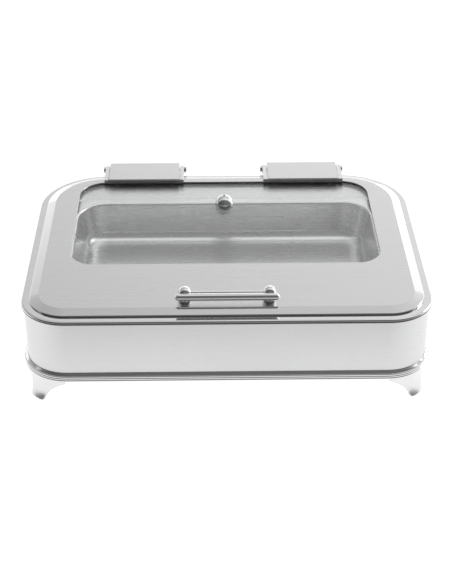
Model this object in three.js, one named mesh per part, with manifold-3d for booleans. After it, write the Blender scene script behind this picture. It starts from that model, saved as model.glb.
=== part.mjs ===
// Chafing dish food warmer: a rectangular steel body on four cabriole feet, a water pan with a flat
// heating element under it, one full-size food pan, and a flat hinged lid with a glass window.
// Millimetres, +Z up, front towards -Y, floor at Z = 0, origin under the middle of the bounding box.
import * as THREE from 'three';
import { mergeVertices } from 'three/addons/utils/BufferGeometryUtils.js';
import Module from 'manifold-3d';

const wasm = await Module();
wasm.setup();

// ---- Driving dimensions ---------------------------------------------------------------------

const GAP = 0.3; // between pieces that touch
const SHEET = 1.5; // body sheet
const CORNER_STEPS = 6; // facets in each plan corner

// Plan of the rim: every other outline of the body and the lid is an inset of it.
const RIM = { halfWidth: 320, front: -243, rear: 243, frontRadius: 72, rearRadius: 112 };

// Heights above the floor.
const FOOT_HEIGHT = 43;
const PLINTH_TOP = 57;
const RIM_TOP = 153;
const BEAD_RADIUS = 3.8;
const LEDGE_TOP = 150.8; // the rim's inner ledge, which carries the water pan
const LID_EDGE_TOP = 156;
const PANEL_TOP = 160.7; // the lid's flat panel

// Insets from the rim's plan.
const WALL_INSET = 5;
const LEDGE_INSET = 25.5;
const LID_INSET = 14;
const PANEL_INSET = 30;
const LID_SHEET = 1.2;

// Window opening in the lid, and what it holds.
const WINDOW = { halfWidth: 252, front: -84.5, rear: 201.1, frontRadius: 40, rearRadius: 45 };
const GLASS = { halfWidth: 261, front: -93.5, rear: 203.9, frontRadius: 49, rearRadius: 47 };
const GLASS_THICKNESS = 4;
const SEAL_THICKNESS = 0.4;
const SEAL_TOP = PANEL_TOP - LID_SHEET - GAP;
const GLASS_TOP = SEAL_TOP - SEAL_THICKNESS - GAP;
const GLASS_BOTTOM = GLASS_TOP - GLASS_THICKNESS;
const VENT_Y = 117.5;
const VENT_RADIUS = 16;

// Food pan, full gastronorm size (530 x 325), and the water pan's well around it.
const PAN_Y = -10;
const PAN_FLANGE = panPlan(265, 162.5, 34);
const PAN_TOP = 149;
const PAN_DEPTH = 65;
const PAN_SHEET = 1.2;
const WELL_FLOOR = 66;

// Lid handle.
const POST_X = 65;
const POST_Y = -195.5;
const POST_RADIUS = 10;
const POST_HEIGHT = 24;
const BAR_RADIUS = 5.75;
const BAR_HALF = 80;
const BAR_Y = POST_Y - 11.5;
const BAR_Z = PANEL_TOP + 13;
const TIE_RADIUS = 2.3;
const TIE_Z = PANEL_TOP + 14;

// Hinges: two alike, about one axis behind the rear rim.
const HINGE_X = 141.5;
const PIVOT = { y: 256.5, z: 157.2 };
const PIN_RADIUS = 3;
const BARREL_RADIUS = 8;
const EYE_RADIUS = 8.5;
const COVER_HALF = 62.5;
const ARM_START = 63.5;
const ARM_END = 70.5;
const ARM_FRONT = 200.5;
const LEAF = { front: 202.5, rear: 230.5, thickness: 2.2 };
const COVER = { front: 198.5, rear: 263.5, top: PANEL_TOP + 7.3, sheet: 2 };
const STUD_X = 49;
const STUD_Y = 208.6;
const STUD_RADIUS = 2.5;

// Rear control plate, with the parts on it from left to right as seen from the front.
const CONTROL = { halfWidth: 68, bottom: 66, top: 130, middle: 98 };
const WALL_REAR = RIM.rear - WALL_INSET;
const INLET_X = -42;
const SWITCH_X = -8;
const LAMP_X = 12;
const DIAL_X = 38;
const PLATE_Y = WALL_REAR + GAP;
const SWITCH_PIVOT_Y = PLATE_Y + 1;
const SWITCH_TILT = THREE.MathUtils.degToRad(8);
const TERMINAL_Y = 156;

// The hinge eyes reach furthest back and the plinth's beads furthest forward.
const PLINTH_BULGE = 0.8;
const CENTRE_Y = (PIVOT.y + EYE_RADIUS + RIM.front - PLINTH_BULGE) / 2;

// ---- Geometry helpers -----------------------------------------------------------------------

/** Rounded rectangle of a pan, centred on the pan's own middle. */
function panPlan(halfWidth, halfDepth, radius) {
  return {
    halfWidth,
    front: PAN_Y - halfDepth,
    rear: PAN_Y + halfDepth,
    frontRadius: radius,
    rearRadius: radius,
  };
}

/** Points of a plan's outline, anticlockwise from the front right corner, moved in by an inset. */
function outline(plan, inset = 0) {
  const corners = [
    [1, plan.front, plan.frontRadius, 1, -90],
    [1, plan.rear, plan.rearRadius, -1, 0],
    [-1, plan.rear, plan.rearRadius, -1, 90],
    [-1, plan.front, plan.frontRadius, 1, 180],
  ];
  return corners.flatMap(([side, edge, radius, inward, start]) => {
    const centreX = side * (plan.halfWidth - radius);
    const centreY = edge + inward * radius;
    return Array.from({ length: CORNER_STEPS + 1 }, (_, step) => {
      const angle = THREE.MathUtils.degToRad(start + (90 * step) / CORNER_STEPS);
      const reach = radius - inset;
      return [centreX + reach * Math.cos(angle), centreY + reach * Math.sin(angle)];
    });
  });
}

/** One ring of a skin: an outline at one height. */
function ring(plan, inset, height) {
  return outline(plan, inset).map(([x, y]) => [x, y, height]);
}

/** Triangles that close a convex ring; facing up, or down when reversed. */
function capTriangles(first, count, reversed) {
  return Array.from({ length: count - 2 }, (_, step) => {
    const pair = [first + step + 1, first + step + 2];
    return [first, ...(reversed ? pair.reverse() : pair)];
  }).flat();
}

/** Closed solid through a run of rings: a loop of rings, or a stack closed by two flat caps. */
function skin(rings, looped) {
  const count = rings[0].length;
  const index = [];
  const bands = looped ? rings.length : rings.length - 1;
  for (let band = 0; band < bands; band += 1) {
    const lower = band * count;
    const upper = ((band + 1) % rings.length) * count;
    for (let step = 0; step < count; step += 1) {
      const next = (step + 1) % count;
      index.push(lower + step, lower + next, upper + next);
      index.push(lower + step, upper + next, upper + step);
    }
  }
  if (!looped) {
    index.push(...capTriangles(0, count, true));
    index.push(...capTriangles((rings.length - 1) * count, count, false));
  }
  const geometry = new THREE.BufferGeometry();
  geometry.setAttribute('position', new THREE.Float32BufferAttribute(rings.flat(2), 3));
  geometry.setIndex(index);
  return geometry;
}

/** Ring-shaped solid: a closed profile of [inset, height] points carried round one plan. */
function band(plan, profile) {
  return skin(profile.map(([inset, height]) => ring(plan, inset, height)), true);
}

/** Flat plate of a plan's outline between two heights. */
function plate(plan, inset, bottom, top) {
  return skin([ring(plan, inset, bottom), ring(plan, inset, top)], false);
}

/** Points on an arc of a profile, in degrees. */
function arc(centre, radius, from, to, steps) {
  return Array.from({ length: steps + 1 }, (_, step) => {
    const angle = THREE.MathUtils.degToRad(from + ((to - from) * step) / steps);
    return [centre[0] + radius * Math.cos(angle), centre[1] + radius * Math.sin(angle)];
  });
}

function box(x0, x1, y0, y1, z0, z1) {
  const geometry = new THREE.BoxGeometry(x1 - x0, y1 - y0, z1 - z0);
  return geometry.translate((x0 + x1) / 2, (y0 + y1) / 2, (z0 + z1) / 2);
}

/** Round bar along X, Y or Z, from one end to the other. */
function rod(axis, radius, from, to, at, sides = 24) {
  const geometry = new THREE.CylinderGeometry(radius, radius, to - from, sides);
  const middle = (from + to) / 2;
  if (axis === 'x') {
    return geometry.rotateZ(-Math.PI / 2).translate(middle, at[0], at[1]);
  }
  if (axis === 'y') {
    return geometry.translate(at[0], middle, at[1]);
  }
  return geometry.rotateX(Math.PI / 2).translate(at[0], at[1], middle);
}

/** Turned solid about a vertical axis, from a profile of [radius, height] points. */
function turned(profile, x, y, z, sides = 24) {
  const points = profile.map(([radius, height]) => new THREE.Vector2(radius, height));
  return new THREE.LatheGeometry(points, sides).rotateX(Math.PI / 2).translate(x, y, z);
}

/** Solid with the same side view all along X: [y, z] points between two ends. */
function sideExtrusion(points, from, to) {
  const shape = new THREE.Shape(points.map(([y, z]) => new THREE.Vector2(y, z)));
  const geometry = new THREE.ExtrudeGeometry(shape, { depth: to - from, bevelEnabled: false });
  const turn = new THREE.Matrix4().set(0, 0, 1, from, 1, 0, 0, 0, 0, 1, 0, 0, 0, 0, 0, 1);
  return geometry.applyMatrix4(turn);
}

function toSolid(geometry) {
  const bare = new THREE.BufferGeometry();
  bare.setAttribute('position', geometry.getAttribute('position'));
  bare.setIndex(geometry.index);
  const merged = mergeVertices(bare, 1e-4);
  const vertProperties = new Float32Array(merged.getAttribute('position').array);
  const triVerts = new Uint32Array(merged.index.array);
  return new wasm.Manifold(new wasm.Mesh({ numProp: 3, vertProperties, triVerts }));
}

function toGeometry(solid) {
  const { vertProperties, triVerts } = solid.getMesh();
  const geometry = new THREE.BufferGeometry();
  geometry.setAttribute('position', new THREE.BufferAttribute(vertProperties, 3));
  geometry.setIndex(new THREE.BufferAttribute(triVerts, 1));
  return geometry;
}

function join(...pieces) {
  return toGeometry(pieces.map(toSolid).reduce((whole, piece) => whole.add(piece)));
}

function cut(piece, ...tools) {
  return toGeometry(tools.map(toSolid).reduce((whole, tool) => whole.subtract(tool), toSolid(piece)));
}

// ---- Materials ------------------------------------------------------------------------------

const steel = (color, roughness) => ({ color, roughness, metalness: 1 });
const FINISH = {
  brushed: steel(0xc9cacb, 0.36),
  polished: steel(0xd9dadb, 0.12),
  satin: steel(0xd4d5d6, 0.28),
  inner: steel(0xb9bbbd, 0.3),
  glass: { color: 0xe8f0ee, roughness: 0.03, metalness: 0, transparent: true, opacity: 0.3 },
  silicone: { color: 0xd2d2cc, roughness: 0.5, metalness: 0 },
  rubber: { color: 0x1d1d1e, roughness: 0.85, metalness: 0 },
  plastic: { color: 0x19191b, roughness: 0.45, metalness: 0 },
  lamp: { color: 0xd8571c, roughness: 0.2, metalness: 0 },
  ceramic: { color: 0xe9e6dd, roughness: 0.5, metalness: 0 },
};

const dish = new THREE.Group();
dish.position.set(0, -CENTRE_Y, 0);

function place(name, geometry, finish) {
  const mesh = new THREE.Mesh(geometry, new THREE.MeshStandardMaterial(FINISH[finish]));
  mesh.name = name;
  dish.add(mesh);
}

// ---- Body -----------------------------------------------------------------------------------

/** Outer wall with the rolled bead, the rim flange and the ledge; open above, below and behind. */
function bodyShell() {
  const wallInner = WALL_INSET + SHEET;
  const ledgeEnd = 36;
  const bead = arc([BEAD_RADIUS, RIM_TOP - BEAD_RADIUS], BEAD_RADIUS, 270, 90, 6);
  const shell = band(RIM, [
    [WALL_INSET, FOOT_HEIGHT + 1.9],
    [WALL_INSET, RIM_TOP - 2 * BEAD_RADIUS],
    ...bead,
    [LEDGE_INSET, RIM_TOP],
    [LEDGE_INSET, LEDGE_TOP],
    [ledgeEnd, LEDGE_TOP],
    [ledgeEnd, LEDGE_TOP - SHEET],
    [LEDGE_INSET - SHEET, LEDGE_TOP - SHEET],
    [LEDGE_INSET - SHEET, RIM_TOP - SHEET],
    [wallInner, RIM_TOP - SHEET],
    [wallInner, FOOT_HEIGHT + 1.9],
  ]);
  const margin = 10;
  const opening = box(
    margin - CONTROL.halfWidth,
    CONTROL.halfWidth - margin,
    WALL_REAR - 10,
    WALL_REAR + 10,
    CONTROL.bottom + 6,
    CONTROL.top - 6,
  );
  return cut(shell, opening);
}

/** Moulded trim round the foot of the body: three beads with a sloping shoulder above them. */
function plinthBand() {
  const beadInset = 0.6;
  const beadRadius = 1.6;
  const beadReach = beadInset + PLINTH_BULGE;
  const beads = [44.7, 48, 51.3].flatMap((height) => arc([0, height], beadRadius, 270, 90, 4));
  const stretched = beads.map(([x, height]) => [beadInset + (x * beadReach) / beadRadius, height]);
  return band(RIM, [
    [1.4, FOOT_HEIGHT],
    ...stretched,
    [0.9, 53.2],
    [4.2, PLINTH_TOP],
    [WALL_INSET - GAP, PLINTH_TOP],
    [WALL_INSET - GAP, FOOT_HEIGHT],
  ]);
}

function basePlate() {
  const sheet = plate(RIM, WALL_INSET, FOOT_HEIGHT + 0.1, FOOT_HEIGHT + 1.6);
  const holes = FEET.map((foot) => rod('z', 2.6, 40, 50, footPoint(foot, 0, FOOT_SCREW_INSET), 16));
  return cut(sheet, ...holes);
}

// ---- Feet -----------------------------------------------------------------------------------

const FOOT_SHEET = 2;
const FOOT_SCREW_INSET = 17;
const FEET = [
  { name: 'front_left', side: -1, edge: RIM.front, inward: 1, radius: RIM.frontRadius, facing: 225 },
  { name: 'front_right', side: 1, edge: RIM.front, inward: 1, radius: RIM.frontRadius, facing: 315 },
  { name: 'rear_right', side: 1, edge: RIM.rear, inward: -1, radius: RIM.rearRadius, facing: 45 },
  { name: 'rear_left', side: -1, edge: RIM.rear, inward: -1, radius: RIM.rearRadius, facing: 135 },
];

/** Plan point of a foot: a distance along the corner's arc from its middle, and an inset from it. */
function footPoint(foot, along, inset) {
  const angle = THREE.MathUtils.degToRad(foot.facing) + along / foot.radius;
  const reach = foot.radius - inset;
  return [
    foot.side * (RIM.halfWidth - foot.radius) + reach * Math.cos(angle),
    foot.edge + foot.inward * foot.radius + reach * Math.sin(angle),
  ];
}

/** Half width of the foot and its height, from the toe up the cabriole curve to the lip. */
function footEdge() {
  const toe = new THREE.LineCurve(new THREE.Vector2(12, 1.2), new THREE.Vector2(15.5, 5));
  const sweep = new THREE.QuadraticBezierCurve(
    new THREE.Vector2(15.5, 5),
    new THREE.Vector2(22, 24),
    new THREE.Vector2(51, 35.5),
  );
  const lip = new THREE.Vector2(52.8, FOOT_HEIGHT - GAP);
  return [toe.getPoint(0), ...sweep.getPoints(6), new THREE.Vector2(52.8, 37.5), lip];
}

/** Inset of the foot's face: it draws in at the ankle and flares out past the body at the toe. */
function footInset(height) {
  const rise = height / FOOT_HEIGHT;
  return 5.6 * rise + 5.5 * Math.sin(Math.PI * rise) - 4;
}

/** Segment of a plate inside a foot's arc, closed by a straight chord. */
function footSegment(foot, halfSpan, inset, depth, bottom, top) {
  const steps = 8;
  const curve = Array.from({ length: steps + 1 }, (_, step) => {
    return footPoint(foot, halfSpan * ((2 * step) / steps - 1), inset);
  });
  const ends = [footPoint(foot, halfSpan, inset + depth), footPoint(foot, -halfSpan, inset + depth)];
  const shape = new THREE.Shape([...curve, ...ends].map(([x, y]) => new THREE.Vector2(x, y)));
  const geometry = new THREE.ExtrudeGeometry(shape, { depth: top - bottom, bevelEnabled: false });
  return geometry.translate(0, 0, bottom);
}

/** Thin curved wall of a foot, as rings of [outer face, inner face] points from one side to the other. */
function footWall(foot) {
  const across = 8;
  const rings = footEdge().map(({ x: halfSpan, y: height }) => {
    const inset = footInset(height);
    const alongs = Array.from({ length: across + 1 }, (_, step) => halfSpan * ((2 * step) / across - 1));
    const outer = alongs.map((along) => [...footPoint(foot, along, inset), height]);
    const inner = alongs.map((along) => [...footPoint(foot, along, inset + FOOT_SHEET), height]);
    return [...outer, ...inner.reverse()];
  });
  return ribbon(rings);
}

/** Solid through a stack of long thin rings, closed at both ends by strips of quads. */
function ribbon(rings) {
  const count = rings[0].length;
  const strip = (first, reversed) => {
    const quads = [];
    for (let step = 0; step < count / 2 - 1; step += 1) {
      const [a, b] = [first + step, first + step + 1];
      const [c, d] = [first + count - 2 - step, first + count - 1 - step];
      quads.push(...(reversed ? [a, c, b, a, d, c] : [a, b, c, a, c, d]));
    }
    return quads;
  };
  const walls = skin(rings, false);
  const sides = Array.from(walls.index.array).slice(0, (rings.length - 1) * count * 6);
  walls.setIndex([...sides, ...strip(0, true), ...strip((rings.length - 1) * count, false)]);
  return walls;
}

function foot(corner) {
  const ankleInset = footInset(FOOT_HEIGHT) + 1;
  const flange = footSegment(corner, 38, ankleInset, 24, FOOT_HEIGHT - 2, FOOT_HEIGHT - GAP);
  const sole = footSegment(corner, 12, footInset(4) + 1, 9, 3, 5);
  const hole = rod('z', 2.8, 38, 46, footPoint(corner, 0, FOOT_SCREW_INSET), 16);
  return cut(join(footWall(corner), flange, sole), hole);
}

function footPad(corner) {
  return footSegment(corner, 11, footInset(3) + FOOT_SHEET + 0.5, 7.5, 0, 3 - GAP);
}

function footScrew(corner) {
  const at = footPoint(corner, 0, FOOT_SCREW_INSET);
  const headTop = FOOT_HEIGHT - 2 - GAP;
  return join(rod('z', 4.6, headTop - 3, headTop, at, 6), rod('z', 2.3, headTop - 1, 47, at, 16));
}

// ---- Pans and heating -----------------------------------------------------------------------

/** Deck that falls towards the well, the well itself, and the ledge for the food pan's rim. */
function waterPan() {
  const ledge = panPlan(268, 165.5, 36);
  const mouth = panPlan(257, 154.5, 30);
  const floor = panPlan(249, 146.5, 26);
  const deckOuter = LEDGE_INSET + 1;
  const deckTop = LEDGE_TOP + GAP + PAN_SHEET;
  const ledgeTop = PAN_TOP - PAN_SHEET - GAP;
  const bottom = WELL_FLOOR - PAN_SHEET;
  const sheet = PAN_SHEET;
  return skin(
    [
      ring(floor, 10, bottom),
      ring(floor, 0, bottom + 8),
      ring(mouth, 0, ledgeTop - sheet - 2),
      ring(mouth, -2, ledgeTop - sheet),
      ring(ledge, -2, ledgeTop - sheet),
      ring(ledge, -3, ledgeTop),
      ring(RIM, 44, deckTop - sheet - 0.8),
      ring(RIM, 38, deckTop - sheet),
      ring(RIM, deckOuter, deckTop - sheet),
      ring(RIM, deckOuter, deckTop),
      ring(RIM, 38, deckTop),
      ring(ledge, -3, ledgeTop + sheet),
      ring(ledge, -1, ledgeTop),
      ring(mouth, -1, ledgeTop),
      ring(mouth, sheet, ledgeTop - 2),
      ring(floor, sheet, bottom + 8.5),
      ring(floor, 10, WELL_FLOOR),
    ],
    false,
  );
}

/** Food pan: a drawn pan with rounded floor edges, tapered walls and a rolled rim. */
function foodPan() {
  const body = panPlan(251, 148.5, 46);
  const toe = panPlan(243, 140.5, 42);
  const floor = PAN_TOP - PAN_DEPTH;
  const sheet = PAN_SHEET;
  return skin(
    [
      ring(toe, 14, floor),
      ring(toe, 4, floor + 2.6),
      ring(toe, 0, floor + 9),
      ring(body, 0, PAN_TOP - 5),
      ring(body, -3.5, PAN_TOP - sheet),
      ring(PAN_FLANGE, 1.5, PAN_TOP - sheet),
      ring(PAN_FLANGE, 0, PAN_TOP - sheet / 2),
      ring(PAN_FLANGE, 1.5, PAN_TOP),
      ring(body, -2.5, PAN_TOP),
      ring(body, sheet, PAN_TOP - 4.6),
      ring(toe, sheet, floor + 9.2),
      ring(toe, 5, floor + 3.6),
      ring(toe, 14, floor + sheet),
    ],
    false,
  );
}

function heaterPlate() {
  return plate(panPlan(170, 95, 30), 0, WELL_FLOOR - PAN_SHEET - GAP - 3, WELL_FLOOR - PAN_SHEET - GAP);
}

/** Sheathed element: one long loop under the heater plate, its two ends meeting the terminals. */
function heatingElement() {
  const radius = 4;
  const height = WELL_FLOOR - PAN_SHEET - 2 * GAP - 3 - radius;
  const turn = 26;
  const reach = 120;
  const lead = 10;
  const near = PAN_Y + 2 * turn;
  const path = new THREE.CurvePath();
  const line = (x0, y0, x1, y1) => {
    const ends = [new THREE.Vector3(x0, y0, height), new THREE.Vector3(x1, y1, height)];
    path.add(new THREE.LineCurve3(...ends));
  };
  const bend = (x, y, from, to) => {
    const points = arc([x, y], turn, from, to, 8);
    path.add(new THREE.CatmullRomCurve3(points.map(([px, py]) => new THREE.Vector3(px, py, height))));
  };
  line(-lead, TERMINAL_Y - GAP, -lead, near + turn);
  bend(-lead - turn, near + turn, 0, -90);
  line(-lead - turn, near, -reach, near);
  bend(-reach, near - turn, 90, 270);
  line(-reach, near - 2 * turn, reach, near - 2 * turn);
  bend(reach, near - turn, -90, 90);
  line(reach, near, lead + turn, near);
  bend(lead + turn, near + turn, 270, 180);
  line(lead, near + turn, lead, TERMINAL_Y - GAP);
  const circle = new THREE.Shape();
  circle.absarc(0, 0, radius, 0, 2 * Math.PI);
  return new THREE.ExtrudeGeometry(circle, { steps: 44, curveSegments: 4, extrudePath: path });
}

/** Ceramic block that the element's two ends run into. */
function terminalBlock() {
  return box(-22, 22, TERMINAL_Y, TERMINAL_Y + 16, 50, 63);
}

/** Thermostat's sensing bulb, lying along the heater plate's underside. */
function thermostatBulb() {
  const height = WELL_FLOOR - PAN_SHEET - 2 * GAP - 3 - 3;
  return rod('x', 3, 40, 110, [PAN_Y + 78, height], 12);
}

// ---- Controls on the rear wall --------------------------------------------------------------

/** Steel cover plate over the wall's opening, with a hole for each control. */
function controlPlate() {
  const { halfWidth, bottom, top, middle } = CONTROL;
  const face = box(-halfWidth, halfWidth, PLATE_Y, PLATE_Y + 1.5, bottom, top);
  const through = [PLATE_Y - 5, PLATE_Y + 5];
  return cut(
    face,
    box(INLET_X - 12.5, INLET_X + 12.5, ...through, middle - 9.5, middle + 9.5),
    box(SWITCH_X - 7.8, SWITCH_X + 7.8, ...through, middle - 12.3, middle + 12.3),
    rod('y', 4.3, ...through, [LAMP_X, middle]),
    rod('y', 3.6, ...through, [DIAL_X, middle]),
  );
}

/** Folded inner box that keeps steam off the electrics; open towards the rear wall. */
function controlBox() {
  const rear = WALL_REAR - SHEET - GAP;
  const outer = box(-62, 62, 184, rear, 68, 128);
  const inner = box(-60.5, 60.5, 185.5, rear + 1, 69.5, 126.5);
  return cut(outer, inner);
}

/** Thermostat body behind the plate, bored for the dial's spindle. */
function thermostatBody() {
  const { middle } = CONTROL;
  const body = box(DIAL_X - 17, DIAL_X + 17, PLATE_Y - 30, PLATE_Y - GAP, middle - 17, middle + 17);
  return cut(body, rod('y', 3.4, PLATE_Y - 20, PLATE_Y + 1, [DIAL_X, middle]));
}

/** Dial with a raised pointer, and its spindle. */
function thermostatKnob() {
  const { middle } = CONTROL;
  const face = PLATE_Y + 1.5 + GAP;
  const profile = [[0, 0], [17, 0], [17, 3.5], [13.5, 5], [12.6, 15], [11.4, 16], [0, 16]];
  const skirt = turned(profile, 0, 0, 0);
  skirt.rotateX(-Math.PI / 2).translate(DIAL_X, face, middle);
  const pointer = box(DIAL_X - 1, DIAL_X + 1, face + 12, face + 16.8, middle + 1, middle + 12);
  return join(skirt, rod('y', 3, PLATE_Y - 16, face + 1, [DIAL_X, middle], 16), pointer);
}

function indicatorLamp() {
  const { middle } = CONTROL;
  const lens = [[0, 0], [5.6, 0], [5.6, 1], [4.6, 2.8], [2.6, 4], [0, 4.4]];
  const dome = turned(lens, 0, 0, 0).rotateX(-Math.PI / 2);
  dome.translate(LAMP_X, PLATE_Y + 1.5 + GAP, middle);
  return join(dome, rod('y', 4, PLATE_Y - 14, PLATE_Y + 3, [LAMP_X, middle], 20));
}

function switchFrame() {
  const { middle } = CONTROL;
  const face = PLATE_Y + 1.5 + GAP;
  const bezel = box(SWITCH_X - 9.5, SWITCH_X + 9.5, face, face + 2, middle - 14, middle + 14);
  const body = box(SWITCH_X - 7.5, SWITCH_X + 7.5, PLATE_Y - 16, face + 1, middle - 12, middle + 12);
  const well = box(SWITCH_X - 6, SWITCH_X + 6, PLATE_Y - 10, face + 9, middle - 10.8, middle + 10.8);
  return cut(join(bezel, body), well);
}

/** Rocker with two flats that meet in a shallow V, resting with its lower end pressed in. */
function switchRocker() {
  const { middle } = CONTROL;
  const half = 9.4;
  const side = [[-5, -half], [3.2, -half], [1.2, 0], [3.2, half], [-5, half]];
  const rocker = sideExtrusion(side, SWITCH_X - 5.6, SWITCH_X + 5.6);
  return rocker.rotateX(-SWITCH_TILT).translate(0, SWITCH_PIVOT_Y, middle);
}

/** Three-pin mains inlet: a deep shrouded recess with flat pins. */
function powerInlet() {
  const { middle } = CONTROL;
  const face = PLATE_Y + 1.5 + GAP;
  const depth = 18;
  const flange = box(INLET_X - 15, INLET_X + 15, face, face + 2, middle - 12.5, middle + 12.5);
  const body = box(INLET_X - 12.2, INLET_X + 12.2, PLATE_Y - 20, face + 1, middle - 9.2, middle + 9.2);
  const recess = box(INLET_X - 10.5, INLET_X + 10.5, face + 2 - depth, face + 4, middle - 7.5, middle + 7.5);
  const pins = [[-6, 1.5], [0, -2.5], [6, 1.5]].map(([x, z]) => {
    const back = face + 1 - depth;
    return box(INLET_X + x - 1, INLET_X + x + 1, back, back + 12, middle + z - 2, middle + z + 2);
  });
  return join(cut(join(flange, body), recess), ...pins);
}

// ---- Lid ------------------------------------------------------------------------------------

const NUT_POINTS = [-1, 1].flatMap((side) => [-1, 1].map((end) => [side * HINGE_X + end * STUD_X, STUD_Y]));
const POST_POINTS = [[-POST_X, POST_Y], [POST_X, POST_Y]];

/** Pressed lid: standing edge, polished bevel, flat panel and the window opening. */
function lidShell() {
  const under = PANEL_TOP - LID_SHEET;
  const shell = skin(
    [
      ring(RIM, LID_INSET, RIM_TOP + 0.6),
      ring(RIM, LID_INSET, LID_EDGE_TOP - 1.4),
      ring(RIM, LID_INSET + 0.5, LID_EDGE_TOP - 0.4),
      ring(RIM, LID_INSET + 1.5, LID_EDGE_TOP),
      ring(RIM, PANEL_INSET - 3, PANEL_TOP - 0.7),
      ring(RIM, PANEL_INSET, PANEL_TOP),
      ring(WINDOW, -0.5, PANEL_TOP),
      ring(WINDOW, 0, PANEL_TOP - 0.5),
      ring(WINDOW, 0, under),
      ring(RIM, PANEL_INSET + 0.5, under),
      ring(RIM, PANEL_INSET - 2.5, under - 0.7),
      ring(RIM, LID_INSET + 2.2, LID_EDGE_TOP - LID_SHEET),
      ring(RIM, LID_INSET + LID_SHEET, LID_EDGE_TOP - LID_SHEET - 1),
      ring(RIM, LID_INSET + LID_SHEET, RIM_TOP + 0.6),
    ],
    true,
  );
  const holes = [...NUT_POINTS, ...POST_POINTS].map((at) => rod('z', 3, under - 5, PANEL_TOP + 5, at, 12));
  return cut(shell, ...holes);
}

/** Silicone strip inside the lid's edge, which rests on the rim. */
function lidGasket() {
  return band(RIM, [
    [LID_INSET + 2.2, RIM_TOP + GAP],
    [LID_INSET + 2.2, LID_EDGE_TOP - 1.7],
    [LID_INSET + 7, LID_EDGE_TOP - 0.4],
    [LID_INSET + 7, RIM_TOP + GAP],
  ]);
}

/** Flat silicone ring that bonds the glass to the lid's underside. */
function windowSeal() {
  const bottom = SEAL_TOP - SEAL_THICKNESS;
  return skin(
    [
      ring(WINDOW, 0.2, bottom),
      ring(GLASS, 0, bottom),
      ring(GLASS, 0, SEAL_TOP),
      ring(WINDOW, 0.2, SEAL_TOP),
    ],
    true,
  );
}

function windowGlass() {
  const pane = skin(
    [
      ring(GLASS, 0.5, GLASS_BOTTOM),
      ring(GLASS, 0, GLASS_BOTTOM + 0.5),
      ring(GLASS, 0, GLASS_TOP - 0.5),
      ring(GLASS, 0.5, GLASS_TOP),
    ],
    false,
  );
  return cut(pane, rod('z', 5, GLASS_BOTTOM - 1, GLASS_TOP + 1, [0, VENT_Y]));
}

/** Domed knob with a steam hole through its top, and the hollow stem that passes the glass. */
function ventKnob() {
  const base = GLASS_TOP + 1 + 2 * GAP;
  const dome = arc([0, 1.5], VENT_RADIUS, 6, 82, 6);
  const profile = [
    [1.8, GLASS_BOTTOM - 6 - base],
    [4.6, GLASS_BOTTOM - 6 - base],
    [4.6, 0],
    [VENT_RADIUS, 0],
    ...dome,
    [1.8, VENT_RADIUS + 0.9],
    [1.8, GLASS_BOTTOM - 6 - base],
  ];
  return turned(profile, 0, VENT_Y, base, 24);
}

function ventWasher() {
  const bottom = GLASS_TOP + GAP;
  return cut(rod('z', 14.5, bottom, bottom + 1, [0, VENT_Y]), rod('z', 5, 0, 300, [0, VENT_Y]));
}

function ventNut() {
  const top = GLASS_BOTTOM - GAP;
  return cut(rod('z', 9, top - 4, top, [0, VENT_Y], 6), rod('z', 4.9, 0, 300, [0, VENT_Y], 24));
}

/** Domed post, notched at the front for the handle bar and bored for the tie rod and the screw. */
function handlePost(side) {
  const base = PANEL_TOP + GAP;
  const straight = POST_HEIGHT - POST_RADIUS;
  const dome = arc([0, straight], POST_RADIUS, 0, 90, 6);
  const x = side * POST_X;
  const profile = [[0, 0], [POST_RADIUS, 0], ...dome.slice(0, -1), [0, POST_HEIGHT]];
  const tieEnds = [x - side * 4, x - side * 24].sort((a, b) => a - b);
  return cut(
    turned(profile, x, POST_Y, base, 20),
    rod('x', BAR_RADIUS + GAP, x - 20, x + 20, [BAR_Y, BAR_Z], 24),
    rod('x', TIE_RADIUS + GAP, ...tieEnds, [POST_Y, TIE_Z], 12),
    rod('z', 2.8, base - 1, base + 10, [x, POST_Y], 10),
  );
}

/** Round grip bar with bluntly pointed ends. */
function handleBar() {
  const end = [[0, 0], [2.2, 0.2], [4.4, 1.6], [BAR_RADIUS, 4.4]];
  const far = end.map(([radius, height]) => [radius, 2 * BAR_HALF - height]).reverse();
  const bar = turned([...end, ...far], 0, 0, 0, 20).rotateY(Math.PI / 2);
  return bar.translate(-BAR_HALF, BAR_Y, BAR_Z);
}

function handleTieRod() {
  const half = POST_X - 4 - GAP;
  return rod('x', TIE_RADIUS, -half, half, [POST_Y, TIE_Z], 12);
}

function handleScrew([x, y]) {
  const headTop = PANEL_TOP - LID_SHEET - GAP;
  const shank = rod('z', 2.5, headTop - 1, PANEL_TOP + 9, [x, y], 10);
  return join(rod('z', 4.6, headTop - 3, headTop, [x, y], 6), shank);
}

// ---- Hinges ---------------------------------------------------------------------------------

/** Fixed half of a hinge: a strap up the rear wall, joggled round the bead, with the damper barrel. */
function hingeBracket(centre) {
  const wall = WALL_REAR + GAP;
  const back = RIM.rear + 0.8;
  const foot = 92;
  const joggle = 132;
  const side = [
    [wall, foot],
    [wall + 2.5, foot],
    [wall + 2.5, joggle - 1],
    [back + 3, joggle + 6],
    [back + 3, PIVOT.z - 10],
    [PIVOT.y + 2, PIVOT.z - 6.5],
    [PIVOT.y - 3, PIVOT.z - 2],
    [back, PIVOT.z - 7],
    [back, joggle + 7],
    [wall, joggle],
  ];
  const strap = sideExtrusion(side, centre - 52, centre + 52);
  const barrel = rod('x', BARREL_RADIUS, centre - COVER_HALF, centre + COVER_HALF, [PIVOT.y, PIVOT.z], 24);
  const bore = rod('x', 6.2, centre - 80, centre + 80, [PIVOT.y, PIVOT.z], 24);
  return cut(join(strap, barrel), bore);
}

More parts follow.
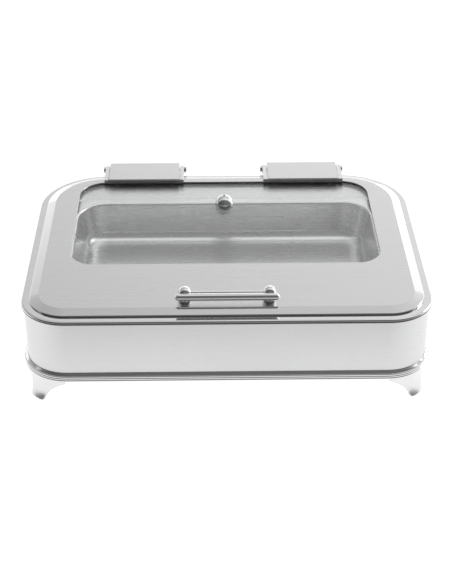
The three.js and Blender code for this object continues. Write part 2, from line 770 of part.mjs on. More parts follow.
/** Sealed damper cartridge, a thick tube inside the barrel. */
function hingeDamper(centre) {
  const half = COVER_HALF - 1;
  const body = rod('x', 5.9, centre - half, centre + half, [PIVOT.y, PIVOT.z], 24);
  return cut(body, rod('x', PIN_RADIUS + GAP, centre - 80, centre + 80, [PIVOT.y, PIVOT.z], 16));
}

function hingePin(centre) {
  const at = [PIVOT.y, PIVOT.z];
  const start = ARM_END + GAP;
  const heads = [-1, 1].map((side) => {
    const ends = [centre + side * start, centre + side * (start + 4)].sort((a, b) => a - b);
    return rod('x', 6.2, ...ends, at, 20);
  });
  return join(rod('x', PIN_RADIUS, centre - start - 2, centre + start + 2, at, 16), ...heads);
}

/** Moving half of a hinge: a leaf on the lid, an arm at each end of it, and two studs through the lid. */
function hingeYoke(centre) {
  const seat = PANEL_TOP + GAP;
  const top = seat + 4.8;
  const leafTop = seat + LEAF.thickness;
  const leaf = box(centre - ARM_END, centre + ARM_END, LEAF.front, LEAF.rear, seat, leafTop);
  const side = [
    [ARM_FRONT, seat],
    [PIVOT.y - 6, seat],
    [PIVOT.y, PIVOT.z],
    [PIVOT.y + 2, top - 2],
    [PIVOT.y - 2, top],
    [ARM_FRONT, top],
  ];
  const arms = [-1, 1].flatMap((hand) => {
    const ends = [centre + hand * ARM_START, centre + hand * ARM_END].sort((a, b) => a - b);
    return [sideExtrusion(side, ...ends), rod('x', EYE_RADIUS, ...ends, [PIVOT.y, PIVOT.z], 20)];
  });
  const studs = [-1, 1].map((end) => {
    return rod('z', STUD_RADIUS, seat - 5.9, seat + 1, [centre + end * STUD_X, STUD_Y], 10);
  });
  const bore = rod('x', PIN_RADIUS + 0.05, centre - 80, centre + 80, [PIVOT.y, PIVOT.z], 16);
  return cut(join(leaf, ...arms, ...studs), bore);
}

/** Plain flat cover over the leaf and the barrel, with a lip down in front. */
function hingeCover(centre) {
  const { front, rear, top, sheet } = COVER;
  const lip = PANEL_TOP + LEAF.thickness + 2 * GAP;
  const side = [
    [front, lip],
    [front + 2.5, lip],
    [front + 2.5, top - sheet],
    [rear, top - sheet],
    [rear, top - 0.8],
    [rear - 0.8, top],
    [front + 0.8, top],
    [front, top - 0.8],
  ];
  return sideExtrusion(side, centre - COVER_HALF, centre + COVER_HALF);
}

/** Domed nut under the lid, on a stud. */
function hingeNut([x, y]) {
  const top = PANEL_TOP - LID_SHEET - GAP;
  const dome = arc([0, -2.2], 4, -90, 0, 4);
  const cap = turned([...dome, [4, -2], [0, -2]], x, y, top, 12);
  const nut = join(rod('z', 4.2, top - 2.6, top, [x, y], 6), cap);
  return cut(nut, rod('z', STUD_RADIUS + GAP, top - 4.6, top + 1, [x, y], 10));
}

// ---- Assembly -------------------------------------------------------------------------------

dish.name = 'chafing_dish';
place('body_shell', bodyShell(), 'brushed');
place('plinth_band', plinthBand(), 'polished');
place('base_plate', basePlate(), 'satin');
FEET.forEach((corner) => {
  place(`foot_${corner.name}`, foot(corner), 'satin');
  place(`foot_pad_${corner.name}`, footPad(corner), 'rubber');
  place(`foot_screw_${corner.name}`, footScrew(corner), 'satin');
});

place('water_pan', waterPan(), 'inner');
place('food_pan', foodPan(), 'inner');
place('heater_plate', heaterPlate(), 'inner');
place('heating_element', heatingElement(), 'inner');
place('terminal_block', terminalBlock(), 'ceramic');
place('thermostat_bulb', thermostatBulb(), 'inner');

place('control_plate', controlPlate(), 'brushed');
place('control_box', controlBox(), 'satin');
place('thermostat_body', thermostatBody(), 'plastic');
place('thermostat_knob', thermostatKnob(), 'plastic');
place('indicator_lamp', indicatorLamp(), 'lamp');
place('switch_frame', switchFrame(), 'plastic');
place('switch_rocker', switchRocker(), 'plastic');
place('power_inlet', powerInlet(), 'plastic');

place('lid_shell', lidShell(), 'brushed');
place('lid_gasket', lidGasket(), 'silicone');
place('window_seal', windowSeal(), 'silicone');
place('window_glass', windowGlass(), 'glass');
place('vent_knob', ventKnob(), 'polished');
place('vent_washer', ventWasher(), 'silicone');
place('vent_nut', ventNut(), 'satin');
place('handle_bar', handleBar(), 'polished');
place('handle_tie_rod', handleTieRod(), 'polished');
[['left', -1], ['right', 1]].forEach(([hand, side]) => {
  place(`handle_post_${hand}`, handlePost(side), 'polished');
  place(`handle_screw_${hand}`, handleScrew([side * POST_X, POST_Y]), 'satin');
});

[['left', -HINGE_X], ['right', HINGE_X]].forEach(([hand, centre]) => {
  place(`hinge_bracket_${hand}`, hingeBracket(centre), 'satin');
  place(`hinge_damper_${hand}`, hingeDamper(centre), 'satin');
  place(`hinge_pin_${hand}`, hingePin(centre), 'polished');
  place(`hinge_yoke_${hand}`, hingeYoke(centre), 'satin');
  place(`hinge_cover_${hand}`, hingeCover(centre), 'brushed');
});
NUT_POINTS.forEach((at, index) => place(`hinge_nut_${index + 1}`, hingeNut(at), 'polished'));

export default dish;
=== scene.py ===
"""Looks of the chafing dish food warmer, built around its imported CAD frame.

Lengths are in millimetres up to the mesh makers, which turn them into metres.
"""

import math
from collections import namedtuple

import bmesh
import bpy
from mathutils import Matrix, Vector


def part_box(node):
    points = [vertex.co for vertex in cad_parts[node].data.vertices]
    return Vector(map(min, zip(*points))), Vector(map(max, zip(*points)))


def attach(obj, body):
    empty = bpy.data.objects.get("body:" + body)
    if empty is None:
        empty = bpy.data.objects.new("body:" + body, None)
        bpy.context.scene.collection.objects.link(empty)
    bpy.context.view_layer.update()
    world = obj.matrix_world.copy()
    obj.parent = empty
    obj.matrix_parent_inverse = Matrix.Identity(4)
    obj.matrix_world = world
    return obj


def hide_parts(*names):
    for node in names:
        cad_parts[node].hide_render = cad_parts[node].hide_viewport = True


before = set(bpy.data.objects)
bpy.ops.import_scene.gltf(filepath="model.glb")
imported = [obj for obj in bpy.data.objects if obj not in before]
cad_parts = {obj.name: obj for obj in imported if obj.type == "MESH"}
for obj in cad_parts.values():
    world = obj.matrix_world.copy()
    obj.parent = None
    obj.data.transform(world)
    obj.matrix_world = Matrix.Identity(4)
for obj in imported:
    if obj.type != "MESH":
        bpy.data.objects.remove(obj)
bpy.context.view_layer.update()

MM = 0.001
CORNER_STEPS = 22  # facets in each plan corner
SIDES = 48  # facets round a turned piece
SMOOTH_ANGLE = 38  # degrees; steeper edges stay sharp

Plan = namedtuple("Plan", "half_width front rear front_radius rear_radius")


def low_high(node):
    """Lowest and highest corner of a CAD node, in millimetres."""
    low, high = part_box(node)
    return low / MM, high / MM


def middle(node):
    low, high = low_high(node)
    return (low + high) / 2


# ---- Where things are, from the frame -------------------------------------------------------

body_low, body_high = low_high("body_shell")
lid_low, lid_high = low_high("lid_shell")
glass_low, glass_high = low_high("window_glass")
pan_low, pan_high = low_high("food_pan")
water_low, water_high = low_high("water_pan")
plinth_low, plinth_high = low_high("plinth_band")

RIM = Plan(body_high.x, body_low.y, body_high.y, 72, 112)
RIM_TOP = body_high.z
LEDGE_TOP = RIM_TOP - 2.2  # the rim's inner ledge, under the water pan's deck
LEDGE_INSET = 25.5
LEDGE_END = 36
BEAD_RADIUS = 3.8
WALL_INSET = 5
SHEET = 1.5
LID_INSET = RIM.half_width - lid_high.x
PANEL_TOP = lid_high.z
PANEL_INSET = 30
LID_EDGE_TOP = PANEL_TOP - 4.7
LID_SHEET = 1.2
GLASS_LAP = 9  # how far the glass runs on under the lid, at the front and the sides
GLASS_LAP_REAR = 2.8
WINDOW = Plan(glass_high.x - GLASS_LAP, glass_low.y + GLASS_LAP, glass_high.y - GLASS_LAP_REAR, 40, 45)
GLASS = Plan(glass_high.x, glass_low.y, glass_high.y, 49, 47)
PAN_SHEET = 1.2
PAN_DEPTH = 65
GAP = 0.3  # between pieces that touch
FOOT_SHEET = 2


# ---- Mesh makers ----------------------------------------------------------------------------


def outline(plan, inset=0.0):
    """Points of a rounded rectangle, anticlockwise from its front right corner."""
    corners = (
        (1, plan.front, plan.front_radius, 1, -90),
        (1, plan.rear, plan.rear_radius, -1, 0),
        (-1, plan.rear, plan.rear_radius, -1, 90),
        (-1, plan.front, plan.front_radius, 1, 180),
    )
    points = []
    for side, edge, radius, inward, start in corners:
        centre = Vector((side * (plan.half_width - radius), edge + inward * radius))
        for step in range(CORNER_STEPS + 1):
            angle = math.radians(start + 90 * step / CORNER_STEPS)
            points.append(centre + (radius - inset) * Vector((math.cos(angle), math.sin(angle))))
    return points


def ring(plan, inset, height):
    return [(p.x, p.y, height) for p in outline(plan, inset)]


def arc(centre, radius, start, end, steps):
    """Points on an arc of a profile, in degrees."""
    turn = [math.radians(start + (end - start) * step / steps) for step in range(steps + 1)]
    return [(centre[0] + radius * math.cos(a), centre[1] + radius * math.sin(a)) for a in turn]


def rounded(corners, looped=True, steps=4):
    """Profile with rounded corners, from (across, height, radius) points."""
    points = []
    count = len(corners)
    for index, (across, height, radius) in enumerate(corners):
        here = Vector((across, height))
        if radius == 0 or (not looped and index in (0, count - 1)):
            points.append((across, height))
            continue
        arms = [Vector(corners[(index + side) % count][:2]) - here for side in (-1, 1)]
        opening = arms[0].angle(arms[1])
        reach = radius / math.tan(opening / 2)
        reach = min(reach, 0.49 * arms[0].length, 0.49 * arms[1].length)
        start, end = (here + arm.normalized() * reach for arm in arms)
        for step in range(steps + 1):
            t = step / steps
            point = (1 - t) ** 2 * start + 2 * t * (1 - t) * here + t ** 2 * end
            points.append((point.x, point.y))
    return points


def shade(piece, smooth_angle):
    """Smooth across gentle edges and sharp across steep ones, with flat faces kept flat."""
    piece.data.shade_smooth()
    piece.data.set_sharp_from_angle(angle=math.radians(smooth_angle))
    weighted = piece.modifiers.new("normals", "WEIGHTED_NORMAL")
    weighted.keep_sharp = True
    weighted.weight = 80


def finish_mesh(name, mesh, smooth_angle=SMOOTH_ANGLE):
    """Object of a mesh in millimetres."""
    mesh.transform(Matrix.Scale(MM, 4))
    piece = bpy.data.objects.new(name, mesh)
    bpy.context.scene.collection.objects.link(piece)
    shade(piece, smooth_angle)
    return piece


def skin(name, rings, looped):
    """Closed surface through a run of rings: looped round, or capped at both ends."""
    count = len(rings[0])
    vertices = [point for points in rings for point in points]
    faces = []
    for band_index in range(len(rings) if looped else len(rings) - 1):
        lower = band_index * count
        upper = (band_index + 1) % len(rings) * count
        for step in range(count):
            after = (step + 1) % count
            faces.append((lower + step, lower + after, upper + after, upper + step))
    if not looped:
        faces.append(tuple(reversed(range(count))))
        faces.append(tuple(range(len(vertices) - count, len(vertices))))
    mesh = bpy.data.meshes.new(name)
    mesh.from_pydata(vertices, [], faces)
    bm = bmesh.new()
    bm.from_mesh(mesh)
    bmesh.ops.recalc_face_normals(bm, faces=bm.faces)
    bm.to_mesh(mesh)
    bm.free()
    return finish_mesh(name, mesh)


def band(name, plan, profile):
    """A closed profile of (inset, height) points carried round one plan."""
    return skin(name, [ring(plan, inset, height) for inset, height in profile], True)


def turned(name, profile, place, axis="Z", sides=SIDES, looped=False):
    """Turned piece: a profile of (radius, height) points about an axis through a place."""
    turn = {"Z": Matrix.Identity(4), "X": Matrix.Rotation(math.pi / 2, 4, "Y"),
            "Y": Matrix.Rotation(-math.pi / 2, 4, "X")}[axis]
    bm = bmesh.new()
    rows = []
    for radius, height in profile:
        if radius < 1e-6:
            rows.append([bm.verts.new((0, 0, height))])
            continue
        angles = [2 * math.pi * step / sides for step in range(sides)]
        rows.append([bm.verts.new((radius * math.cos(a), radius * math.sin(a), height)) for a in angles])
    pairs = list(zip(rows, rows[1:] + rows[:1])) if looped else list(zip(rows, rows[1:]))
    for lower, upper in pairs:
        for step in range(sides):
            after = (step + 1) % sides
            corners = [lower[step % len(lower)], lower[after % len(lower)],
                       upper[after % len(upper)], upper[step % len(upper)]]
            unique = list(dict.fromkeys(corners))
            if len(unique) > 2:
                bm.faces.new(unique)
    bmesh.ops.recalc_face_normals(bm, faces=bm.faces)
    mesh = bpy.data.meshes.new(name)
    bm.to_mesh(mesh)
    bm.free()
    mesh.transform(Matrix.Translation(place) @ turn)
    return finish_mesh(name, mesh)


def prism(name, points, low, high, axis="Z", bevel=0.0):
    """Outline extruded along an axis between two places, with its edges rounded."""
    bm = bmesh.new()
    order = {"Z": lambda a, b, c: (a, b, c), "X": lambda a, b, c: (c, a, b),
             "Y": lambda a, b, c: (a, c, b)}[axis]
    base = bm.faces.new([bm.verts.new(order(a, b, low)) for a, b in points])
    grown = bmesh.ops.extrude_face_region(bm, geom=[base])["geom"]
    shift = Vector(order(0, 0, high - low))
    bmesh.ops.translate(bm, vec=shift, verts=[g for g in grown if isinstance(g, bmesh.types.BMVert)])
    bmesh.ops.recalc_face_normals(bm, faces=bm.faces)
    if bevel:
        round_edges(bm, bevel)
    mesh = bpy.data.meshes.new(name)
    bm.to_mesh(mesh)
    bm.free()
    return finish_mesh(name, mesh)


def slab(name, low, high, bevel=0.0):
    points = ((low[0], low[1]), (high[0], low[1]), (high[0], high[1]), (low[0], high[1]))
    return prism(name, points, low[2], high[2], bevel=bevel)


def round_edges(bm, width, steep=35, segments=3):
    """Rounds every edge of a bmesh that is steeper than an angle."""
    edges = [e for e in bm.edges if e.is_manifold and e.calc_face_angle() > math.radians(steep)]
    bmesh.ops.bevel(bm, geom=edges, offset=width, offset_type="OFFSET", segments=segments,
                    profile=0.5, affect="EDGES", clamp_overlap=True)


def carve(piece, tool, operation="DIFFERENCE"):
    """Cuts a tool out of a piece, or joins it on, and deletes the tool."""
    modifier = piece.modifiers.new("carve", "BOOLEAN")
    modifier.operation = operation
    modifier.solver = "EXACT"
    modifier.object = tool
    piece.modifiers.remove(piece.modifiers["normals"])
    graph = bpy.context.evaluated_depsgraph_get()
    mesh = bpy.data.meshes.new_from_object(piece.evaluated_get(graph))
    piece.modifiers.clear()
    bpy.data.objects.remove(tool)
    piece.data = mesh
    shade(piece, SMOOTH_ANGLE)


def softened(node, width):
    """A CAD node's shape with its sharp edges rounded, as a new piece."""
    bm = bmesh.new()
    bm.from_mesh(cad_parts[node].data)
    bmesh.ops.transform(bm, matrix=Matrix.Scale(1 / MM, 4), verts=bm.verts)
    bmesh.ops.remove_doubles(bm, verts=bm.verts, dist=1e-3)
    bmesh.ops.dissolve_limit(bm, angle_limit=math.radians(1), verts=bm.verts, edges=bm.edges)
    round_edges(bm, width, segments=2)
    mesh = bpy.data.meshes.new(f"{node}_shown")
    bm.to_mesh(mesh)
    bm.free()
    return finish_mesh(mesh.name, mesh, 30)


def wear(piece, material, body, slot, *nodes):
    """Gives a piece its material, the body it rides on, and the CAD nodes it stands for."""
    piece.data.materials.clear()
    piece.data.materials.append(material)
    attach(piece, body)
    if nodes:
        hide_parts(*nodes)


def paint(piece, material, test):
    """Gives another material to the faces whose centre, in millimetres, passes a test."""
    piece.data.materials.append(material)
    last = len(piece.data.materials) - 1
    for polygon in piece.data.polygons:
        if test(polygon.center / MM):
            polygon.material_index = last


# ---- Materials ------------------------------------------------------------------------------


def new_material(name):
    material = bpy.data.materials.new(name)
    material.use_nodes = True
    return material, material.node_tree.nodes, material.node_tree.links


def noise(tree_nodes, links, stretch, detail=4.0, roughness=0.6):
    """Noise over the object's own coordinates, stretched: repeats per metre along X, Y and Z."""
    coordinates = tree_nodes.new("ShaderNodeTexCoord")
    mapping = tree_nodes.new("ShaderNodeMapping")
    mapping.inputs["Scale"].default_value = stretch
    texture = tree_nodes.new("ShaderNodeTexNoise")
    texture.inputs["Scale"].default_value = 1.0
    texture.inputs["Detail"].default_value = detail
    texture.inputs["Roughness"].default_value = roughness
    links.new(coordinates.outputs["Object"], mapping.inputs["Vector"])
    links.new(mapping.outputs["Vector"], texture.inputs["Vector"])
    return texture.outputs["Fac"]


def spread(tree_nodes, links, source, low, high, start=0.3, end=0.7):
    """Maps a noise's middle range onto a range of values."""
    spreader = tree_nodes.new("ShaderNodeMapRange")
    spreader.inputs["From Min"].default_value = start
    spreader.inputs["From Max"].default_value = end
    spreader.inputs["To Min"].default_value = low
    spreader.inputs["To Max"].default_value = high
    links.new(source, spreader.inputs["Value"])
    return spreader.outputs["Result"]


def add_bump(tree_nodes, links, height, strength, depth, normal=None):
    bump = tree_nodes.new("ShaderNodeBump")
    bump.inputs["Strength"].default_value = strength
    bump.inputs["Distance"].default_value = depth * MM
    links.new(height, bump.inputs["Height"])
    if normal is not None:
        links.new(normal, bump.inputs["Normal"])
    return bump.outputs["Normal"]


def tinted(tree_nodes, links, fac, dark, light):
    mix = tree_nodes.new("ShaderNodeMix")
    mix.data_type = "RGBA"
    mix.inputs["A"].default_value = (*dark, 1)
    mix.inputs["B"].default_value = (*light, 1)
    links.new(fac, mix.inputs["Factor"])
    return mix.outputs["Result"]


def steel(name, shade, smooth, rough, grain, grain_depth, wave=0.0):
    """Stainless steel: grain along its polishing direction, soft smudges, and a slow wave of the sheet."""
    material, nodes, links = new_material(name)
    shader = nodes["Principled BSDF"]
    shader.inputs["Metallic"].default_value = 1.0
    lines = noise(nodes, links, grain)
    smudges = noise(nodes, links, (14, 14, 14), detail=5)
    blend = nodes.new("ShaderNodeMath")
    blend.operation = "MULTIPLY_ADD"
    blend.inputs[1].default_value = 0.45
    links.new(smudges, blend.inputs[0])
    scaled = spread(nodes, links, lines, 0, 0.55, 0, 1)
    links.new(scaled, blend.inputs[2])
    links.new(spread(nodes, links, blend.outputs[0], smooth, rough), shader.inputs["Roughness"])
    light = (shade, shade * 1.002, shade * 1.004)
    dark = tuple(0.95 * value for value in light)
    shades = tinted(nodes, links, spread(nodes, links, lines, 0, 1), dark, light)
    links.new(shades, shader.inputs["Base Color"])
    normal = add_bump(nodes, links, lines, 0.5, grain_depth)
    if wave:
        slow = noise(nodes, links, (22, 22, 22), detail=1)
        normal = add_bump(nodes, links, slow, 1.0, wave, normal)
    links.new(normal, shader.inputs["Normal"])
    return material


def plain(name, dark, light, smooth, rough, grain, depth):
    """Rubber, plastic or ceramic: a fine moulded texture with a little change of shade."""
    material, nodes, links = new_material(name)
    shader = nodes["Principled BSDF"]
    fine = noise(nodes, links, (grain, grain, grain))
    patches = noise(nodes, links, (40, 40, 40))
    links.new(tinted(nodes, links, patches, dark, light), shader.inputs["Base Color"])
    links.new(spread(nodes, links, fine, smooth, rough), shader.inputs["Roughness"])
    links.new(add_bump(nodes, links, fine, 0.6, depth), shader.inputs["Normal"])
    return material


def glass(name):
    """Clear tempered glass that lets lamps through, with a trace of smudge."""
    material, nodes, links = new_material(name)
    shader = nodes["Principled BSDF"]
    shader.inputs["Base Color"].default_value = (0.985, 0.995, 0.99, 1)
    shader.inputs["Transmission Weight"].default_value = 1.0
    shader.inputs["IOR"].default_value = 1.5
    smudges = noise(nodes, links, (9, 9, 9), detail=6)
    links.new(spread(nodes, links, smudges, 0.0, 0.035, 0.45, 0.8), shader.inputs["Roughness"])
    clear = nodes.new("ShaderNodeBsdfTransparent")
    path = nodes.new("ShaderNodeLightPath")
    mix = nodes.new("ShaderNodeMixShader")
    links.new(path.outputs["Is Shadow Ray"], mix.inputs["Fac"])
    links.new(shader.outputs["BSDF"], mix.inputs[1])
    links.new(clear.outputs["BSDF"], mix.inputs[2])
    links.new(mix.outputs["Shader"], nodes["Material Output"].inputs["Surface"])
    return material


def amber():
    """Lamp lens: clear amber plastic with fine prisms behind its face."""
    material, nodes, links = new_material("amber_lens")
    shader = nodes["Principled BSDF"]
    prisms = noise(nodes, links, (900, 900, 900))
    glow = tinted(nodes, links, prisms, (0.75, 0.16, 0.02), (0.95, 0.3, 0.05))
    links.new(glow, shader.inputs["Base Color"])
    shader.inputs["Roughness"].default_value = 0.12
    shader.inputs["Coat Weight"].default_value = 0.6
    links.new(add_bump(nodes, links, prisms, 0.4, 0.1), shader.inputs["Normal"])
    return material


BRUSHED_LID = steel("brushed_lid_steel", 0.68, 0.24, 0.34, (7, 1100, 300), 0.008)
BRUSHED_WALL = steel("brushed_wall_steel", 0.68, 0.24, 0.34, (7, 7, 1400), 0.006)
# Painted shadow: near-black paint that stands in for the shade under the rim's overhanging bead.
BEAD_SHADOW_PAINT = plain("rim_painted_shadow", (0.03, 0.03, 0.03), (0.05, 0.05, 0.05), 0.4, 0.5, 800, 0.01)
POLISHED = steel("polished_steel", 0.8, 0.05, 0.1, (30, 400, 400), 0.001, wave=0.03)
SATIN = steel("satin_steel", 0.76, 0.2, 0.3, (160, 160, 160), 0.005)
COVER = steel("cover_steel", 0.74, 0.14, 0.22, (8, 900, 300), 0.008)
PAN = steel("drawn_pan_steel", 0.88, 0.24, 0.32, (6, 260, 260), 0.0015, wave=0.04)
GLASS_CLEAR = glass("tempered_glass")
SILICONE = plain("white_silicone", (0.6, 0.6, 0.58), (0.72, 0.72, 0.7), 0.4, 0.55, 1500, 0.02)
RUBBER = plain("black_rubber", (0.015, 0.015, 0.015), (0.03, 0.03, 0.03), 0.7, 0.85, 900, 0.05)
PLASTIC = plain("black_plastic", (0.012, 0.012, 0.013), (0.022, 0.022, 0.024), 0.32, 0.45, 2500, 0.02)
CERAMIC = plain("ceramic", (0.7, 0.68, 0.62), (0.82, 0.8, 0.74), 0.45, 0.6, 600, 0.03)
ALUMINIUM = steel("aluminium", 0.72, 0.35, 0.5, (200, 200, 200), 0.02)
AMBER = amber()


# ---- Body -----------------------------------------------------------------------------------


def body_shell():
    inner = WALL_INSET + SHEET
    bottom = body_low.z
    bead = arc((BEAD_RADIUS, RIM_TOP - BEAD_RADIUS), BEAD_RADIUS, 250, 90, 14)
    outside = [(WALL_INSET, bottom), (WALL_INSET, RIM_TOP - 2 * BEAD_RADIUS - 0.6)]
    inside = rounded(
        [
            (BEAD_RADIUS + 1, RIM_TOP, 0),
            (LEDGE_INSET, RIM_TOP, 1.0),
            (LEDGE_INSET, LEDGE_TOP, 0.7),
            (LEDGE_END, LEDGE_TOP, 0.4),
            (LEDGE_END, LEDGE_TOP - SHEET, 0.4),
            (LEDGE_INSET - SHEET, LEDGE_TOP - SHEET, 1.0),
            (LEDGE_INSET - SHEET, RIM_TOP - SHEET, 0.6),
            (inner, RIM_TOP - SHEET, 0.6),
            (inner, bottom, 0),
        ],
        looped=False,
    )
    shell = band("body_shell_shown", RIM, outside + bead + inside)
    plate_low, plate_high = low_high("control_plate")
    opening = slab(
        "opening",
        (plate_low.x + 10, plate_low.y - 12, plate_low.z + 6),
        (plate_high.x - 10, plate_high.y + 12, plate_high.z - 6),
    )
    carve(shell, opening)
    wear(shell, BRUSHED_WALL, "base", "brushed_steel", "body_shell")
    bead_bottom = RIM_TOP - 2 * BEAD_RADIUS
    painted_shadow_height = 4.4
    paint(shell, POLISHED, lambda centre: centre.z > bead_bottom - 0.5)
    # Painted shadow: the bead's lower half and the top of the wall under it are painted near-black, in
    # place of the shade under the bead's overhang.
    paint(shell, BEAD_SHADOW_PAINT, lambda centre: bead_bottom - 0.7 < centre.z < bead_bottom + painted_shadow_height)


def plinth_band():
    bottom, top = plinth_low.z, plinth_high.z
    middle_inset, bulge, bead = 0.6, 1.4, 1.6
    beads = []
    for height in (bottom + 1.7, bottom + 5, bottom + 8.3):
        for turn in range(262, 97, -15):
            angle = math.radians(turn)
            beads.append((middle_inset + bulge * math.cos(angle), height + bead * math.sin(angle)))
    profile = [(1.6, bottom)] + beads + [
        (0.9, bottom + 10.1),
        (1.1, bottom + 10.8),
        (4.0, top - 0.5),
        (4.4, top),
        (4.7, top),
        (4.7, bottom),
    ]
    wear(band("plinth_band_shown", RIM, profile), POLISHED, "base", "polished_steel", "plinth_band")


def foot_point(corner, along, inset):
    """Plan point of a foot: a distance along the rim's corner arc from its middle, and an inset."""
    side, edge, inward, radius, facing = corner
    angle = math.radians(facing) + along / radius
    reach = radius - inset
    centre = Vector((side * (RIM.half_width - radius), edge + inward * radius))
    return centre + reach * Vector((math.cos(angle), math.sin(angle)))


def foot_half_span(height, top):
    """Half width of a foot at a height: a narrow toe, a cabriole sweep and a wide lip."""
    toe, ankle, bend, reach, lip = 12.0, 15.5, 22.0, 51.0, 52.8
    ankle_height, bend_height, sweep_top = 5.0, 24.0, top - 7.2
    if height < ankle_height:
        return toe + (ankle - toe) * math.sin(math.pi / 2 * max(height - 0.3, 0) / ankle_height)
    if height > sweep_top + 1:
        return lip
    low, full = bend_height - ankle_height, sweep_top - ankle_height
    climb = min(height - ankle_height, full)
    t = (low - math.sqrt(low * low - (2 * low - full) * climb)) / (2 * low - full)
    return (1 - t) ** 2 * ankle + 2 * t * (1 - t) * bend + t * t * reach


def foot(name, corner):
    foot_low, foot_high = low_high(f"foot_{name}")
    top = foot_high.z
    across, up = 28, 34
    rows = []
    for step_up in range(up + 1):
        height = foot_low.z + (top - foot_low.z) * step_up / up
        rise = height / plinth_low.z
        half = foot_half_span(height, top)
        inset = 5.6 * rise + 5.5 * math.sin(math.pi * rise) - 4
        row = []
        for step in range(across + 1):
            share = 2 * step / across - 1
            curl = 0.9 * abs(share) ** 5 * (1 - rise)
            row.append((*foot_point(corner, half * share, inset + curl), height))
        rows.append(row)
    bm = bmesh.new()
    grid = [[bm.verts.new(point) for point in row] for row in rows]
    for lower, upper in zip(grid, grid[1:]):
        for step in range(across):
            bm.faces.new((lower[step], lower[step + 1], upper[step + 1], upper[step]))
    bmesh.ops.recalc_face_normals(bm, faces=bm.faces)
    outward = Vector((math.cos(math.radians(corner[4])), math.sin(math.radians(corner[4])), 0))
    if sum((face.normal.dot(outward) for face in bm.faces)) < 0:
        bmesh.ops.reverse_faces(bm, faces=bm.faces)
    mesh = bpy.data.meshes.new(f"foot_{name}_shown")
    bm.to_mesh(mesh)
    bm.free()
    piece = finish_mesh(mesh.name, mesh)
    solid = piece.modifiers.new("sheet", "SOLIDIFY")
    solid.thickness = FOOT_SHEET * MM
    solid.offset = -1
    edge = piece.modifiers.new("edge", "BEVEL")
    edge.width = 0.7 * MM
    edge.segments = 3
    edge.limit_method = "ANGLE"
    edge.angle_limit = math.radians(50)
    for part, half, depth, low, high, start in (
        ("flange", 38, 24, top - 1.7, top - 0.05, 2.6),
        ("sole", 12, 8, 3.0, 5.0, -0.9),
    ):
        steps = 16
        curve = [foot_point(corner, half * (2 * s / steps - 1), start) for s in range(steps + 1)]
        ends = [foot_point(corner, half, start + depth), foot_point(corner, -half, start + depth)]
        carve(piece, prism(part, [tuple(p) for p in curve + ends], low, high), "UNION")
    wear(piece, SATIN, "base", "satin_steel", f"foot_{name}")


def base():
    body_shell()
    plinth_band()
    corners = {
        "front_left": (-1, RIM.front, 1, RIM.front_radius, 225),
        "front_right": (1, RIM.front, 1, RIM.front_radius, 315),
        "rear_right": (1, RIM.rear, -1, RIM.rear_radius, 45),
        "rear_left": (-1, RIM.rear, -1, RIM.rear_radius, 135),
    }
    for name, corner in corners.items():
        foot(name, corner)
        pad = f"foot_pad_{name}"
        wear(softened(pad, 0.5), RUBBER, "base", "rubber", pad)
        screw = f"foot_screw_{name}"
        wear(softened(screw, 0.3), SATIN, "base", "satin_steel", screw)
    wear(softened("base_plate", 0.3), SATIN, "base", "satin_steel", "base_plate")


# ---- Pans and heating -----------------------------------------------------------------------


def pan_plan(half_width, half_depth, radius):
    centre = (pan_low.y + pan_high.y) / 2
    return Plan(half_width, centre - half_depth, centre + half_depth, radius, radius)


def food_pan():
    top, floor, sheet = pan_high.z, pan_low.z, PAN_SHEET
    flange_edge = pan_plan(265, 162.5, 34)
    mouth = pan_plan(251, 148.5, 46)
    toe = pan_plan(243, 140.5, 42)
    toe_radius = 19.0
    quarter = [math.radians(9 * step) for step in range(11)]
    under = [ring(toe, toe_radius * (1 - math.sin(a)), floor + toe_radius * (1 - math.cos(a)))
             for a in quarter]
    roll = arc((0, 0), 3.5, 180, 90, 6)
    outer_lip = [ring(mouth, -(3.5 + x), top - sheet - 3.5 + z) for x, z in roll]
    half_sheet = sheet / 2
    edge = [ring(flange_edge, sheet - x, top - half_sheet + z)
            for x, z in arc((0, 0), half_sheet, -90, 90, 6)]
    inner_roll = [ring(mouth, sheet - 4.5 - x, top - 4.5 + z) for x, z in arc((0, 0), 4.5, 90, 180, 8)]
    bend = toe_radius - sheet
    inside = [ring(toe, sheet + bend * (1 - math.sin(a)), floor + sheet + bend * (1 - math.cos(a)))
              for a in reversed(quarter)]
    rings = under + outer_lip + edge + inner_roll + inside
    wear(skin("food_pan_shown", rings, False), PAN, "food_pan", "pan_steel", "food_pan")


def water_pan():
    sheet = PAN_SHEET
    bottom = water_low.z
    deck = water_high.z
    ledge_top = pan_low.z + PAN_DEPTH - sheet - GAP
    ledge = pan_plan(268, 165.5, 36)
    mouth = pan_plan(257, 154.5, 30)
    floor = pan_plan(249, 146.5, 26)
    deck_outer = LEDGE_INSET + 1
    rings = [
        ring(floor, 12, bottom),
        ring(floor, 5, bottom + 1),
        ring(floor, 1.5, bottom + 4),
        ring(floor, 0, bottom + 9),
        ring(mouth, 0, ledge_top - sheet - 2),
        ring(mouth, -0.7, ledge_top - sheet - 0.6),
        ring(mouth, -2, ledge_top - sheet),
        ring(ledge, -2, ledge_top - sheet),
        ring(ledge, -3, ledge_top),
        ring(RIM, 44, deck - 2 * sheet + 0.4),
        ring(RIM, 38, deck - sheet),
        ring(RIM, deck_outer, deck - sheet),
        ring(RIM, deck_outer, deck),
        ring(RIM, 38, deck),
        ring(ledge, -3.4, ledge_top + sheet + 0.3),
        ring(ledge, -3, ledge_top + sheet),
        ring(ledge, -1, ledge_top),
        ring(mouth, -1, ledge_top),
        ring(mouth, 0.4, ledge_top - 0.6),
        ring(mouth, sheet, ledge_top - 2),
        ring(floor, sheet, bottom + 9.5),
        ring(floor, 2.6, bottom + 5),
        ring(floor, 6, bottom + 2.3),
        ring(floor, 12, bottom + sheet),
    ]
    wear(skin("water_pan_shown", rings, False), PAN, "base", "pan_steel", "water_pan")


